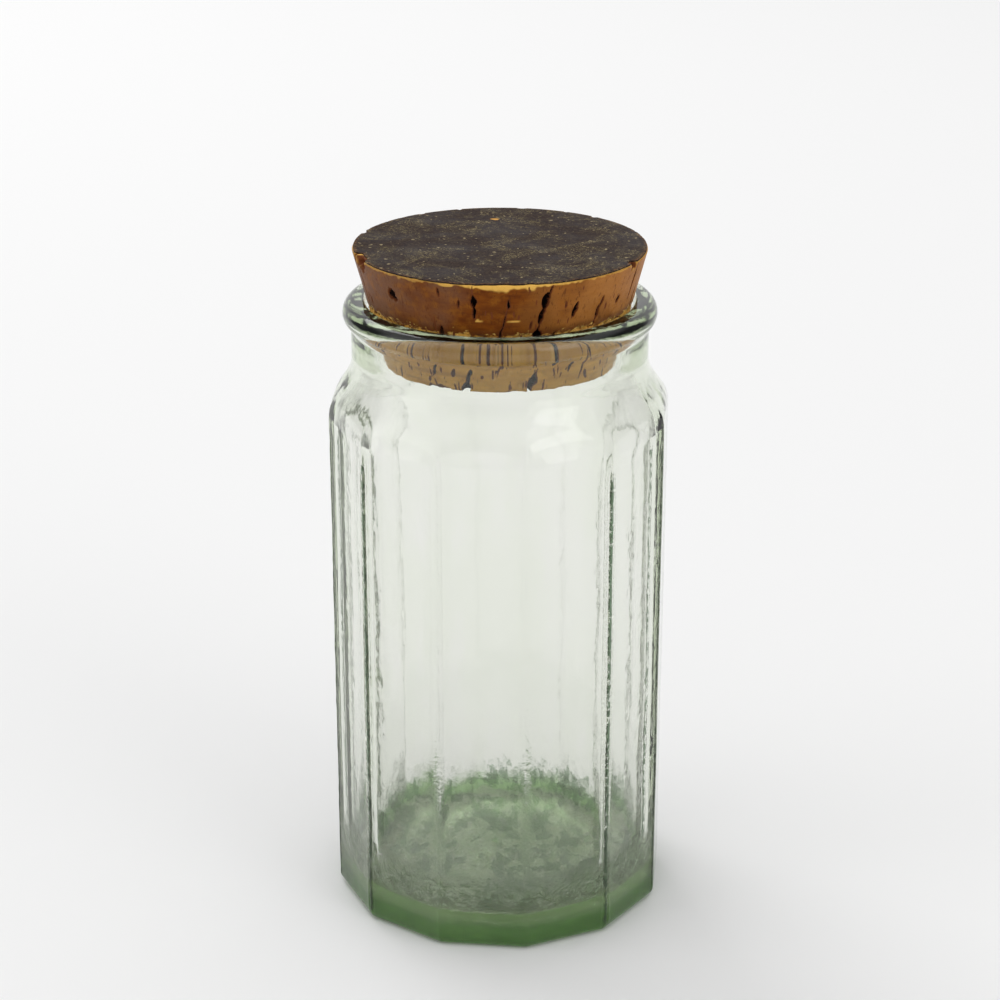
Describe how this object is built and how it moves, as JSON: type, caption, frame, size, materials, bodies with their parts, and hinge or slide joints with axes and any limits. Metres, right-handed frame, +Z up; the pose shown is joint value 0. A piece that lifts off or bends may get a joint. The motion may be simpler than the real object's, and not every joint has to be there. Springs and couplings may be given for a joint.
{
  "type": "lidded glass canister",
  "caption": "Flat-sided moulded glass storage jar with a short shoulder and rounded lip, closed by a tapered cork stopper with a thin dark facing.",
  "frame": {"origin": "centre of the jar's underside, on the surface that the jar stands on", "axes": "+Z up along the jar's axis, which the stopper shares; one flat side of the jar faces -Y, the front"},
  "size_m": [0.115, 0.115, 0.2384],
  "materials": {
    "glass": "gloss",
    "cork": "satin",
    "facing": "matte"
  },
  "bodies": {
    "jar": {"glass_jar": "glass"},
    "stopper": {"cork_stopper": "cork", "top_facing": "facing"}
  },
  "joints": [
    {"name": "stopper_lift", "type": "slide", "parent": "jar", "child": "stopper", "axis": [0, 0, 1], "range_m": [0, 0.06]}
  ]
}
